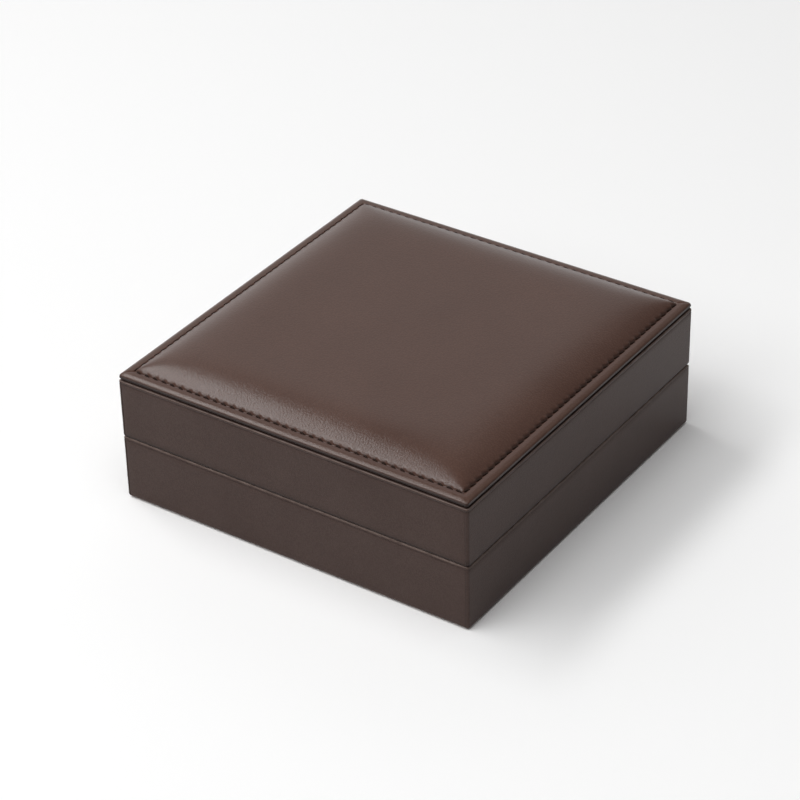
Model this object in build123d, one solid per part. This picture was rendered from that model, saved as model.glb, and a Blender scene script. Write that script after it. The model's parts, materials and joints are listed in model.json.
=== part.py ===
from build123d import *
import math
import os

# A hinged leather box with a padded, stitched lid, in millimetres.
# The origin is the middle of the underside. +Z is up, the front is -Y, and the hinges are at +Y.

# Outside of the closed box
box_width = 190.0
box_depth = 194.5
base_height = 34.1
lid_height = 30.4
seam_gap = 0.3
corner_radius = 2.0
foot_edge_radius = 2.2
rim_edge_radius = 0.8
lid_edge_radius = 1.2

# Leather and its glued turn-ins
leather = 0.8
face_turn_in = 12.0
rim_turn_in = 10.0

# Boards and underside of the base
base_wall = 8.0
floor_board_thickness = 3.0
underside_sheet_thickness = 0.6
underside_margin = 3.0

# Lining of the base, which stands above the rim and locates the lid
lining_thickness = 2.0
lip_height = 5.0
lip_edge_radius = 0.7
lip_clearance = 0.5

# Cushion in the base
card_clearance = 0.2
floor_card_thickness = 1.5
cushion_clearance = 0.4
cushion_height = 10.0
cushion_crown_rise = 3.0
cushion_crown_run = 20.0
cushion_corner_radius = 4.0

# Boards and lining of the lid
top_board_thickness = 3.0
lid_lining_thickness = 1.2
lid_lining_clearance = 1.0

# Pad under the lid's top board
ceiling_card_thickness = 1.5
ceiling_pad_height = 4.5
ceiling_crown_rise = 2.0
ceiling_crown_run = 16.0

# Padded panel, which stands a little off the lid and leaves a dark line around its rolled edge
panel_inset = 0.75
panel_gap = 0.7
panel_thickness = 2.6
stitch_inset = 5.6
channel_width = 1.2
channel_depth = 0.5
channel_slope = 0.4
crown_rise = 7.0
crown_run = 28.0
crown_corner_radius = 1.6
corner_growth = 0.8

# Soft forms
crown_bands = 8
side_bands = 4
side_draw = 1.2

# Stitching
stitch_pitch = 4.8
stitch_length = 2.8
thread_radius = 0.45

# Hinges
hinge_side_distance = 40.0
hinge_length = 24.0
hinge_inset = 1.6
hinge_end_clearance = 0.2
knuckle_radius = 1.4
knuckle_length = 8.0
knuckle_clearance = 0.15
barrel_clearance = 0.25
pin_radius = 0.7
pin_clearance = 0.05
leaf_thickness = 1.0
leaf_width = 6.6
bevel_angle = 50.0

# Screws of the hinges
screw_spacing = 15.0
screw_radius = 0.9
screw_head_radius = 1.5
screw_length = 8.0

# Magnets of the catch
magnet_side_distance = 60.0
magnet_radius = 3.0
magnet_thickness = 2.5

# Heights and places that follow from the sizes above
seam_z = base_height + seam_gap / 2
lid_top_z = base_height + seam_gap + lid_height
panel_z = lid_top_z + panel_gap
lid_wall = base_wall - lip_clearance
floor_board_z = underside_sheet_thickness + leather
floor_top_z = floor_board_z + floor_board_thickness
lip_top_z = base_height + lip_height
lining_inset = 2 * leather + base_wall
lid_lining_inset = 2 * leather + lid_wall
hinge_axis_y = box_depth / 2 - hinge_inset
smallest_fillet = 0.2

hanging = (Align.CENTER, Align.CENTER, Align.MAX)
standing = (Align.CENTER, Align.CENTER, Align.MIN)


def block(inset, low, high, corner):
    """A block with round upright corners, an inset away from the box's outside, between two heights."""
    outline = RectangleRounded(box_width - 2 * inset, box_depth - 2 * inset, corner)
    return Pos(0, 0, low) * extrude(outline, high - low)


def square_block(inset, low, high):
    """The same with sharp corners."""
    outline = Rectangle(box_width - 2 * inset, box_depth - 2 * inset)
    return Pos(0, 0, low) * extrude(outline, high - low)


def round_low_edge(shape, radius):
    return fillet(shape.edges().group_by(Axis.Z)[0], radius)


def round_high_edge(shape, radius):
    return fillet(shape.edges().group_by(Axis.Z)[-1], radius)


def under_leather(radius):
    """The radius of a board's edge, from the radius of the leather over it."""
    return max(radius - leather, smallest_fillet)


def over_seam(shape):
    """The mirror image on the other side of the seam."""
    return mirror(shape, about=Plane.XY.offset(seam_z))


def along_x(x, length, radius):
    """A cylinder on the hinge axis, centred at x."""
    return Pos(x, hinge_axis_y, seam_z) * Rot(0, 90, 0) * Cylinder(radius, length)


def back_groove(cover):
    """The V between the bevelled back rims: its planes meet on the hinge axis, or lie a cover deeper."""
    angle = math.radians(bevel_angle)
    apex = hinge_axis_y - cover / math.sin(angle)
    reach = box_depth - apex
    half_height = reach * math.tan(angle)
    triangle = Polygon(
        (apex, seam_z),
        (box_depth, seam_z - half_height),
        (box_depth, seam_z + half_height),
        align=None,
    )
    return Pos(-box_width / 2, 0, 0) * extrude(Plane.YZ * triangle, box_width)


hinge_places = [hinge_side_distance - box_width / 2, box_width / 2 - hinge_side_distance]
magnet_places = [magnet_side_distance - box_width / 2, box_width / 2 - magnet_side_distance]


def hinge_recess():
    """What the rims give up to the leaves and barrels."""
    length = hinge_length + 2 * hinge_end_clearance
    depth = hinge_inset + leaf_width + hinge_end_clearance
    height = 2 * leaf_thickness + seam_gap
    places = Part()
    for x in hinge_places:
        leaves = Box(length, depth, height, align=(Align.CENTER, Align.MAX, Align.CENTER))
        places += Pos(x, box_depth / 2, seam_z) * leaves
        places += along_x(x, length, knuckle_radius + barrel_clearance)
    return places


def screws():
    """Countersunk screws that point down into the base's back board."""
    head = Cone(screw_radius, screw_head_radius, screw_head_radius - screw_radius, align=hanging)
    screw = Cylinder(screw_radius, screw_length, align=hanging) + head
    y = hinge_axis_y - (leaf_width + knuckle_radius) / 2
    group = Part()
    for x in hinge_places:
        group += Pos(x - screw_spacing / 2, y, base_height) * screw
        group += Pos(x + screw_spacing / 2, y, base_height) * screw
    return group


def magnets(wall):
    """Discs let into the front board's rim, under the leather."""
    y = leather + wall / 2 - box_depth / 2
    group = Part()
    for x in magnet_places:
        group += Pos(x, y, base_height - leather) * Cylinder(magnet_radius, magnet_thickness, align=hanging)
    return group


recess = hinge_recess()
screw_group = screws()


def wall_boards(wall, low):
    """Front, right, back and left boards that meet in mitres, with their rim under the base's leather."""
    high = base_height - leather
    ring = block(leather, low, high, under_leather(corner_radius))
    ring -= square_block(leather + wall, low, high)
    ring -= back_groove(leather)
    ring -= recess
    ring -= screw_group
    ring -= magnets(wall)
    half_x = box_width / 2 - leather
    half_y = box_depth / 2 - leather
    boards = []
    for turn in range(4):
        along = (half_x, half_y)[turn % 2]
        out = (half_y, half_x)[turn % 2]
        footprint = Polygon(
            (-along, -out),
            (along, -out),
            (along - wall, wall - out),
            (wall - along, wall - out),
            align=None,
        )
        boards.append(ring & Pos(0, 0, low) * Rot(0, 0, 90 * turn) * extrude(footprint, high - low))
    return boards


def wrap(wall, low, face_radius):
    """Leather of the base or, mirrored, of the lid: the sides, the rim, the bevel and the turn-ins."""
    rim = base_height
    outer = block(0, low, rim, corner_radius)
    outer = round_low_edge(outer, face_radius)
    outer = round_high_edge(outer, rim_edge_radius)
    core = block(leather, low + leather, rim - leather, under_leather(corner_radius))
    core = round_low_edge(core, under_leather(face_radius))
    core -= back_groove(leather)
    skin = outer - core
    skin -= square_block(2 * leather + wall, rim - leather, rim)
    skin -= square_block(face_turn_in, low, low + leather)
    hidden = square_block(leather + wall, rim - rim_turn_in, rim - leather)
    hidden -= square_block(2 * leather + wall, rim - rim_turn_in, rim - leather)
    return skin + hidden - back_groove(0) - recess


def linings(inset, thickness, low, high, edge_radius):
    """Front, back, left and right panels around a cavity. The side panels fit between the others."""
    width = box_width - 2 * inset
    depth = box_depth - 2 * inset
    long_panel = Pos(0, 0, low) * Box(width, thickness, high - low, align=standing)
    side_panel = Pos(0, 0, low) * Box(thickness, depth - 2 * thickness, high - low, align=standing)
    if edge_radius > 0:
        long_panel = fillet(long_panel.edges().filter_by(Axis.X).group_by(Axis.Z)[-1], edge_radius)
        side_panel = fillet(side_panel.edges().filter_by(Axis.Y).group_by(Axis.Z)[-1], edge_radius)
    y = (depth - thickness) / 2
    x = (width - thickness) / 2
    panels = [Pos(0, -y, 0) * long_panel, Pos(0, y, 0) * long_panel]
    panels += [Pos(-x, 0, 0) * side_panel, Pos(x, 0, 0) * side_panel]
    return panels


def crown(inset, corner, low, rise, run):
    """A raised field whose side is half a parabola: it climbs ever less steeply as it draws in."""
    sections = []
    for step in range(crown_bands + 1):
        share = step / crown_bands
        drawn = run * share
        width = box_width - 2 * (inset + drawn)
        depth = box_depth - 2 * (inset + drawn)
        outline = RectangleRounded(width, depth, corner + corner_growth * drawn)
        sections.append(Pos(0, 0, low + rise * share * (2 - share)) * outline)
    return loft(sections, ruled=True)


def cushion(inset, low, height, rise, run):
    """A pad that stands on its flat back, with drawn-in sides below the crown."""
    side_height = height - rise
    sections = []
    for step in range(side_bands + 1):
        angle = math.radians(90 * step / side_bands)
        drawn = inset + side_draw * (1 - math.sin(angle))
        side = RectangleRounded(box_width - 2 * drawn, box_depth - 2 * drawn, cushion_corner_radius)
        sections.append(Pos(0, 0, low + side_height * step / side_bands) * side)
    return loft(sections, ruled=True) + crown(inset, cushion_corner_radius, low + side_height, rise, run)


def leaf(outer_knuckles):
    """One leaf of each hinge on the base's side of the seam, with its own knuckles."""
    leaves = []
    plate_middle = base_height - leaf_thickness / 2
    for x in hinge_places:
        plate = Box(hinge_length, leaf_width, leaf_thickness, align=(Align.CENTER, Align.MAX, Align.CENTER))
        shape = Pos(x, hinge_axis_y, plate_middle) * plate
        shape += along_x(x, hinge_length, knuckle_radius)
        clear = knuckle_radius + barrel_clearance
        middle = knuckle_length + knuckle_clearance
        if outer_knuckles:
            shape -= along_x(x, middle, clear)
            shape -= along_x(x, hinge_length, pin_radius)
        else:
            end = (hinge_length - knuckle_length + knuckle_clearance) / 2
            offset = (hinge_length - end) / 2
            shape -= along_x(x - offset, end, clear)
            shape -= along_x(x + offset, end, clear)
            shape -= along_x(x, hinge_length, pin_radius + pin_clearance)
        leaves.append(shape - screw_group)
    return leaves


def stitch_line():
    """Stitches that lie in the channel, one after another along its four sides."""
    channel_floor = panel_z + panel_thickness - channel_depth
    thread = Rot(0, 90, 0) * Cylinder(thread_radius, stitch_length)
    thread &= Box(stitch_length, 2 * thread_radius, thread_radius, align=standing)
    half_x = box_width / 2 - stitch_inset
    half_y = box_depth / 2 - stitch_inset
    stitches = []
    for turn in range(4):
        along = (half_x, half_y)[turn % 2]
        out = (half_y, half_x)[turn % 2]
        count = round(2 * along / stitch_pitch)
        pitch = 2 * along / count
        for index in range(count):
            x = (index + 0.5) * pitch - along
            stitches.append(Rot(0, 0, 90 * turn) * Pos(x, -out, channel_floor) * thread)
    return stitches


def panel():
    """The padded panel's leather, its board, and the foam between them."""
    low = panel_z
    high = panel_z + panel_thickness
    floor = high - channel_depth
    edge = panel_thickness / 2 - smallest_fillet / 2
    slab = block(panel_inset, low, high, corner_radius)
    slab = round_low_edge(round_high_edge(slab, edge), edge)
    channel_inset = stitch_inset - channel_width / 2
    field_inset = stitch_inset + channel_width / 2
    wide = RectangleRounded(
        box_width - 2 * (channel_inset - channel_slope),
        box_depth - 2 * (channel_inset - channel_slope),
        crown_corner_radius,
    )
    narrow = RectangleRounded(box_width - 2 * channel_inset, box_depth - 2 * channel_inset, crown_corner_radius)
    slab -= loft([Pos(0, 0, floor) * narrow, Pos(0, 0, high) * wide])
    skin = slab + crown(field_inset, crown_corner_radius, floor, crown_rise, crown_run)
    board = block(panel_inset + leather, low + leather, high - leather, under_leather(corner_radius))
    foam_inset = field_inset + leather
    foam = crown(foam_inset, crown_corner_radius, high - leather, crown_rise - channel_depth, crown_run - leather)
    skin -= board
    skin -= foam
    skin -= square_block(face_turn_in, low, low + leather)
    return skin, board, foam


base_boards = wall_boards(base_wall, floor_top_z)
lid_low_z = base_height - lid_height
top_board_low_z = lid_low_z + leather
lid_boards = wall_boards(lid_wall, top_board_low_z + top_board_thickness)
base_linings = linings(lining_inset, lining_thickness, floor_top_z, lip_top_z, lip_edge_radius)
ceiling_z = lid_top_z - leather - top_board_thickness
lid_linings = linings(lid_lining_inset, lid_lining_thickness, lip_top_z + lid_lining_clearance, ceiling_z, 0)

floor_board = block(leather, floor_board_z, floor_top_z, under_leather(corner_radius))
floor_board = round_low_edge(floor_board, under_leather(foot_edge_radius))
top_board = block(leather, top_board_low_z, top_board_low_z + top_board_thickness, under_leather(corner_radius))
top_board = over_seam(round_low_edge(top_board, under_leather(lid_edge_radius)))

underside = block(underside_margin, 0, underside_sheet_thickness, corner_radius)
underside += square_block(face_turn_in, underside_sheet_thickness, floor_board_z)

cavity_inset = lining_inset + lining_thickness
floor_card = square_block(cavity_inset + card_clearance, floor_top_z, floor_top_z + floor_card_thickness)
base_cushion = cushion(
    cavity_inset + cushion_clearance,
    floor_top_z + floor_card_thickness,
    cushion_height,
    cushion_crown_rise,
    cushion_crown_run,
)

ceiling_inset = lid_lining_inset + lid_lining_thickness
ceiling_card = square_block(ceiling_inset + card_clearance, ceiling_z - ceiling_card_thickness, ceiling_z)
ceiling_pad = cushion(ceiling_inset + cushion_clearance, 0, ceiling_pad_height, ceiling_crown_rise, ceiling_crown_run)
ceiling_pad = Pos(0, 0, ceiling_z - ceiling_card_thickness) * mirror(ceiling_pad, about=Plane.XY)

panel_leather, panel_board, panel_foam = panel()
packing_card = square_block(face_turn_in + card_clearance, lid_top_z - leather, panel_z + leather)

nodes = {
    "base_leather": wrap(base_wall, underside_sheet_thickness, foot_edge_radius),
    "base_floor_board": floor_board,
    "underside_sheet": underside,
    "base_floor_card": floor_card,
    "base_cushion": base_cushion,
    "base_magnets": magnets(base_wall),
    "base_hinge_screws": screw_group,
    "lid_leather": over_seam(wrap(lid_wall, lid_low_z, lid_edge_radius)),
    "lid_top_board": top_board,
    "lid_ceiling_card": ceiling_card,
    "lid_ceiling_pad": ceiling_pad,
    "lid_magnets": over_seam(magnets(lid_wall)),
    "lid_hinge_screws": over_seam(screw_group),
    "panel_leather": panel_leather,
    "panel_board": panel_board,
    "panel_foam": panel_foam,
    "panel_packing_card": packing_card,
    "panel_stitching": Compound(children=stitch_line()),
}
for name, side in zip(("front", "right", "back", "left"), range(4)):
    nodes[f"base_{name}_board"] = base_boards[side]
    nodes[f"lid_{name}_board"] = over_seam(lid_boards[side])
for name, side in zip(("front", "back", "left", "right"), range(4)):
    nodes[f"base_{name}_lining"] = base_linings[side]
    nodes[f"lid_{name}_lining"] = lid_linings[side]
for name, base_leaf, lid_leaf, x in zip(("left", "right"), leaf(True), leaf(False), hinge_places):
    nodes[f"{name}_hinge_base_leaf"] = base_leaf
    nodes[f"{name}_hinge_lid_leaf"] = over_seam(lid_leaf)
    nodes[f"{name}_hinge_pin"] = along_x(x, hinge_length, pin_radius)

os.makedirs("parts", exist_ok=True)
for name, shape in nodes.items():
    export_step(shape, f"parts/{name}.step")
    print(name, len(shape.solids()), round(shape.volume, 1), shape.is_valid)
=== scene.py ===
import bmesh
import bpy
import json
import math
import random
from mathutils import Matrix, Quaternion, Vector, noise


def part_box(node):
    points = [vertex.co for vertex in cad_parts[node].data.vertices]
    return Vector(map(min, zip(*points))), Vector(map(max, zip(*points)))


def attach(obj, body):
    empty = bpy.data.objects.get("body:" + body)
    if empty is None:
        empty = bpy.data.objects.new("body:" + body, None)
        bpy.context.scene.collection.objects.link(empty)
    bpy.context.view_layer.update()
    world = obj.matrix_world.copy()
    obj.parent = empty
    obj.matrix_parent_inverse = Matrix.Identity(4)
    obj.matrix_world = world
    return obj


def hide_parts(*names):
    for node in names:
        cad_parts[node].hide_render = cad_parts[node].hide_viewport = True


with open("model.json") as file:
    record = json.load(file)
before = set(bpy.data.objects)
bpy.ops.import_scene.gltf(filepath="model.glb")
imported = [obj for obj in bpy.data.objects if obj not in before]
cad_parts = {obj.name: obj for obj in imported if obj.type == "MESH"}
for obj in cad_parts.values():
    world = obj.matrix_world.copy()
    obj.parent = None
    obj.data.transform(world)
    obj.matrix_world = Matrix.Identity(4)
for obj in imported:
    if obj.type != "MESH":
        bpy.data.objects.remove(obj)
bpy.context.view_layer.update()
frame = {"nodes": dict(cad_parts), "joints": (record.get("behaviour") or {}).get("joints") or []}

# The leather box as it looks: wraps with soft edges, a padded and stitched panel,
# velvet and satin inside. Lengths are in metres in the frame's own coordinates.
# The front is -Y and the hinges are at +Y.
mm = 0.001

# Points closer than this count as one place, and a cut takes points this near as its own
same_place = 1e-6
cut_reach = 1e-7

# Places read from the frame
base_low, base_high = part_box("base_leather")
_, lid_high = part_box("lid_leather")
panel_low, panel_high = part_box("panel_leather")
_, board_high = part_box("panel_board")
half_width = base_high.x
half_depth = base_high.y
hinge = frame["joints"][0]
hinge_y, seam_z = hinge["pos_m"][1:]
leaf_low, leaf_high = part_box("right_hinge_base_leaf")

# Leather over the boards, turned in under the closed face and down inside the rim. Each radius
# is measured on the leather's outside.
leather = 0.8 * mm
corner_radius = 1.4 * mm
rim_radius = 0.85 * mm
inner_rim_radius = 0.4 * mm
foot_radius = 1.35 * mm
lid_edge_radius = 0.55 * mm
face_turn_in = 12 * mm
rim_turn_in = 10 * mm
base_wall = 8 * mm
lid_wall = 7.5 * mm
bevel_angle = math.radians(50)
bevel_depth = 2.6 * mm
bevel_clearance = 0.08 * mm
notch_clearance = 0.2 * mm
barrel_notch = 1.65 * mm
mitre_depth = 0.25 * mm
mitre_half_width = 0.35 * mm
upright_seam_inset = 1.5 * mm
upright_seam_half_width = 0.3 * mm
upright_seam_depth = 0.3 * mm
edge_crease_inset = 1.5 * mm
edge_crease_half_width = 0.28 * mm
edge_crease_depth = 0.4 * mm
waviness = 0.05 * mm
long_wave = 30 * mm
short_wave = 7 * mm

# The wraps' cells, the edges that are too short to keep, and the area above which a face is broad
wall_cells = (6 * mm, 6 * mm, 4 * mm)
sliver = 0.02 * mm
broad_face = (10 * mm) ** 2

# How strongly shade is painted into the grooves beside the corners, and how strongly the rolled edge's worn
# line, which is also a painted highlight, is marked
seam_painted_shade = 0.8
rolled_edge_wear_and_highlight = 0.35

# Padded panel: its rolled edge, a border that rises a little, the channel of the stitching
# and the crown. Insets are measured from the box's outside.
edge_overhang = 0.45 * mm
panel_inset = half_width - panel_high.x - edge_overhang
edge_radius = 1.3 * mm
panel_corner_radius = 0.9 * mm
border_tilt = math.radians(30)
border_crest = 3.1 * mm
channel_edge = 4.6 * mm
channel_depth = 0.55 * mm
channel_floor = 0.85 * channel_depth
underside_drop = 0.6 * mm
underside_end = 2.7 * mm
roll_start = 2.25 * mm
bead_drop = 0.4 * mm
stitch_inset = 5.6 * mm
crown_inset = 6.1 * mm
crown_foot = 0.5 * mm
crown_run = 28 * mm
crown_margin = 0.01 * mm
puff = 0.5 * mm
puff_run = 0.35 * mm
hip_power = 2.4
corner_fold = 0.35 * mm
corner_fold_width = 0.32 * mm
panel_waviness = 0.05 * mm
panel_wave = 25 * mm
# The worn line on the rolled edge's top, which is also a painted highlight
worn_and_lit_line = 1.5 * mm
worn_and_lit_width = 0.6 * mm

# The panel's grid: square cells in the middle and close rings at the edge
cell = 2.4 * mm
ring_reach = 15.6 * mm
first_ring_step = 0.25 * mm
ring_growth = 1.16

# Stitching, and how the leather swells inside the row and puckers outside it
stitches_across = 37
stitches_deep = 38
thread_radius = 0.56 * mm
stitch_bend = 3.6 * mm
stitch_half_turn = math.radians(26)
stitch_slant = math.radians(24)
stitch_sink = 0.24 * mm
stitch_stray = 0.12 * mm
stitch_lift = 0.04 * mm
gather_outside = 2.5 * mm
gather_inside = 12 * mm
row_end = 0.8 * mm
swell_place = 0.6 * mm
swell_reach = 0.5 * mm
swell_height = 0.45 * mm
swell_dip = 0.2 * mm
swell_lean = 0.3 * mm
swell_draw = 0.1 * mm
pucker_place = 0.4 * mm
pucker_reach = 0.4 * mm
pucker_height = 0.12 * mm
pucker_dip = 0.04 * mm
pucker_width = 0.15

# Pads: the glue under them, and small tucks that run in from their sewn edges
glue_line = 0.2 * mm
tuck_start = 3 * mm
tuck_reach = 11 * mm
tuck_spacing = 5.5 * mm
tuck_length = 22 * mm
tuck_height = 0.55 * mm
tuck_sink = 0.25 * mm

# Hinge screws
screw_spacing = 15 * mm
screw_head = 1.5 * mm
screw_shank = 0.9 * mm
screw_length = 8 * mm
thread_turns = 9
thread_root = 0.78
slot_half_width = 0.2 * mm
slot_half_length = 1.1 * mm
slot_depth = 0.4 * mm


def clamped(value, limit):
    """The value, kept between the limit's negative and the limit."""
    return max(-limit, min(limit, value))


def smooth_step(value):
    """Goes from 0 to 1 with a soft start and a soft end."""
    value = max(0.0, min(1.0, value))
    return value * value * (3 - 2 * value)


def bell(distance, reach):
    """1 in the middle, fading out on both sides."""
    return math.exp(-((distance / reach) ** 2))


def edge_distance(point):
    """How far a point lies inside the nearest side of the box."""
    return min(half_width - abs(point.x), half_depth - abs(point.y))


def everything(bm):
    """All the parts of a shape, as the operators want them."""
    return bm.verts[:] + bm.edges[:] + bm.faces[:]


def with_edges(faces):
    """Some faces together with their edges and corners, for a cut that leaves the rest whole."""
    return list(set(faces) | {e for f in faces for e in f.edges} | {v for f in faces for v in f.verts})


def cut_across(bm, geom, point, normal):
    """Cuts new edges where a plane crosses the given geometry."""
    bmesh.ops.bisect_plane(bm, geom=geom, plane_co=point, plane_no=normal, dist=cut_reach)


def round_over(bm, edges, radius, segments):
    """Rounds these edges to a radius."""
    bmesh.ops.bevel(
        bm,
        geom=edges,
        offset=radius,
        offset_type="OFFSET",
        segments=segments,
        profile=0.5,
        affect="EDGES",
        material=-1,
        clamp_overlap=True,
    )


def box_shape(low, high):
    """A new box between two corners."""
    bm = bmesh.new()
    bmesh.ops.create_cube(bm, size=1)
    bmesh.ops.scale(bm, vec=Vector(high) - Vector(low), verts=bm.verts)
    bmesh.ops.translate(bm, vec=(Vector(high) + Vector(low)) / 2, verts=bm.verts)
    return bm


def slice_evenly(bm, axis, step):
    """Cuts rows of edges through the whole shape, square to the axis and evenly spaced."""
    places = [v.co[axis] for v in bm.verts]
    low, high = min(places), max(places)
    count = max(2, round((high - low) / step))
    normal = Vector((0, 0, 0))
    normal[axis] = 1
    for index in range(1, count):
        point = Vector((0, 0, 0))
        point[axis] = low + (high - low) * index / count
        cut_across(bm, everything(bm), point, normal)


def as_object(name, data):
    """Puts a mesh, a lamp or a camera into the scene."""
    made = bpy.data.objects.new(name, data)
    bpy.context.scene.collection.objects.link(made)
    return made


def made_piece(name, bm, material, body, node_name):
    """Turns a shape into a smooth piece that rides on its body and replaces its node."""
    for face in bm.faces:
        face.smooth = True
    mesh = bpy.data.meshes.new(name)
    bm.to_mesh(mesh)
    bm.free()
    piece = as_object(name, mesh)
    mesh.materials.append(material)
    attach(piece, body)
    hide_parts(node_name)
    return piece


def thicken(piece, thickness):
    """Gives a surface the leather's thickness, inward, and clean shading over its flat faces."""
    solidify = piece.modifiers.new("thickness", "SOLIDIFY")
    solidify.thickness = thickness
    solidify.offset = -1
    solidify.use_even_offset = False
    solidify.use_quality_normals = True
    shading = piece.modifiers.new("shading", "WEIGHTED_NORMAL")
    shading.keep_sharp = True


# Materials
def node(tree, kind, inputs=None, **settings):
    """Adds a shader node. An input is a value or the socket that feeds it."""
    made = tree.nodes.new("ShaderNode" + kind)
    for key, value in settings.items():
        setattr(made, key, value)
    for key, value in (inputs or {}).items():
        if isinstance(value, bpy.types.NodeSocket):
            tree.links.new(value, made.inputs[key])
        else:
            made.inputs[key].default_value = value
    return made


def new_finish(name, **uniform):
    """An empty finish: its material, its node tree, its shader and its object coordinates."""
    material = bpy.data.materials.new(name)
    material.use_nodes = True
    tree = material.node_tree
    shader = tree.nodes["Principled BSDF"]
    for key, value in uniform.items():
        shader.inputs[key.replace("_", " ")].default_value = value
    place = node(tree, "TexCoord").outputs["Object"]
    return material, tree, shader, place


def darker(colour, share):
    """The same colour with less light, and solid."""
    return tuple(share * c for c in colour[:3]) + (1,)


def blend_colours(tree, factor, first, second):
    """Mixes two colours or colour sockets."""
    mix = node(tree, "Mix", data_type="RGBA")
    for socket, value in ((mix.inputs[0], factor), (mix.inputs[6], first), (mix.inputs[7], second)):
        if isinstance(value, bpy.types.NodeSocket):
            tree.links.new(value, socket)
        else:
            socket.default_value = value
    return mix.outputs[2]


def spread(tree, value, low, high, to_low=0.0, to_high=1.0):
    """Maps a value from one range to another and clamps it."""
    return node(
        tree,
        "MapRange",
        {"Value": value, "From Min": low, "From Max": high, "To Min": to_low, "To Max": to_high},
    ).outputs["Result"]


def leather_finish(name, deep, light, worn_and_lit, gloss, grain_size):
    """Smooth, finely grained leather with a semi-gloss finish, a little cloudy, worn along its edges, where
    the paler colour also paints their highlight, and darkened with painted shade where its attribute says.
    """
    material, tree, shader, place = new_finish(name, Specular_IOR_Level=gloss)
    cloud = node(tree, "TexNoise", {"Vector": place, "Scale": 22.0, "Detail": 5.0, "Roughness": 0.55})
    fine = node(tree, "TexNoise", {"Vector": place, "Scale": 420.0, "Detail": 3.0, "Roughness": 0.6})
    cells = node(
        tree,
        "TexVoronoi",
        {"Vector": place, "Scale": 1 / grain_size, "Randomness": 0.95, "Smoothness": 0.35},
        feature="SMOOTH_F1",
    )
    creases = node(
        tree,
        "TexVoronoi",
        {"Vector": place, "Scale": 0.42 / grain_size, "Randomness": 1.0},
        feature="DISTANCE_TO_EDGE",
    )
    base = blend_colours(tree, spread(tree, cloud.outputs["Fac"], 0.3, 0.7), deep, light)
    valley = spread(tree, cells.outputs["Distance"], 0.25, 0.6, 0.0, 0.35)
    base = blend_colours(tree, valley, base, darker(deep, 0.6))
    # Painted shade: a darker colour in the grooves, on the lid's lower edge and under the rolled edge
    painted_shade = node(tree, "Attribute", attribute_name="painted_shade").outputs["Fac"]
    base = blend_colours(tree, painted_shade, base, darker(deep, 0.4))
    # Edge wear, which also paints the highlight on the rounded edges, paler in patches
    edge = node(tree, "Attribute", attribute_name="wear_and_highlight").outputs["Fac"]
    patch_noise = node(tree, "TexNoise", {"Vector": place, "Scale": 260.0, "Detail": 2.0, "Roughness": 0.5})
    patch_share = spread(tree, patch_noise.outputs["Fac"], 0.35, 0.65, 0.5, 1.0)
    patchy = node(tree, "Math", {0: edge, 1: patch_share}, operation="MULTIPLY")
    base = blend_colours(tree, patchy.outputs["Value"], base, worn_and_lit)
    tree.links.new(base, shader.inputs["Base Color"])
    rough = spread(tree, cloud.outputs["Fac"], 0.3, 0.7, 0.28, 0.32)
    tree.links.new(rough, shader.inputs["Roughness"])
    pebble = node(
        tree,
        "Bump",
        {"Height": cells.outputs["Distance"], "Strength": 0.5, "Distance": 0.1 * mm},
        invert=True,
    )
    ridge = node(
        tree,
        "Bump",
        {
            "Height": creases.outputs["Distance"],
            "Strength": 0.12,
            "Distance": 0.1 * mm,
            "Normal": pebble.outputs["Normal"],
        },
    )
    drift = node(
        tree,
        "Bump",
        {
            "Height": fine.outputs["Fac"],
            "Strength": 0.2,
            "Distance": 0.12 * mm,
            "Normal": ridge.outputs["Normal"],
        },
    )
    tree.links.new(drift.outputs["Normal"], shader.inputs["Normal"])
    return material


def thread_finish(name, dark, light):
    """Waxed two-ply thread: slanted plies along the stitch's own UV map."""
    material, tree, shader, _ = new_finish(name, Roughness=0.55, Specular_IOR_Level=0.12)
    along = node(tree, "TexCoord").outputs["UV"]
    plies = node(
        tree,
        "TexWave",
        {"Vector": along, "Scale": 1.6, "Distortion": 0.6, "Detail": 1.0},
        wave_type="BANDS",
        bands_direction="DIAGONAL",
    )
    colour = blend_colours(tree, plies.outputs["Fac"], dark, light)
    tree.links.new(colour, shader.inputs["Base Color"])
    bump = node(tree, "Bump", {"Height": plies.outputs["Fac"], "Strength": 0.7, "Distance": 0.1 * mm})
    tree.links.new(bump.outputs["Normal"], shader.inputs["Normal"])
    return material


def pile_finish(name, deep, light, pile_size, sheen, rough=0.9):
    """Short pile, such as velvet or suede: brushed patches and a soft sheen."""
    material, tree, shader, place = new_finish(
        name, Roughness=rough, Sheen_Weight=sheen, Sheen_Roughness=0.35, Specular_IOR_Level=0.15
    )
    brushed = node(tree, "TexNoise", {"Vector": place, "Scale": 30.0, "Detail": 4.0, "Distortion": 0.8})
    tufts = node(
        tree, "TexNoise", {"Vector": place, "Scale": 1 / pile_size, "Detail": 2.0, "Roughness": 0.7}
    )
    tone = blend_colours(tree, spread(tree, brushed.outputs["Fac"], 0.35, 0.65), deep, light)
    speck = spread(tree, tufts.outputs["Fac"], 0.3, 0.7, 0.0, 0.4)
    tone = blend_colours(tree, speck, tone, darker(deep, 0.72))
    tree.links.new(tone, shader.inputs["Base Color"])
    bump = node(tree, "Bump", {"Height": tufts.outputs["Fac"], "Strength": 0.6, "Distance": 0.3 * mm})
    tree.links.new(bump.outputs["Normal"], shader.inputs["Normal"])
    return material


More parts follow.
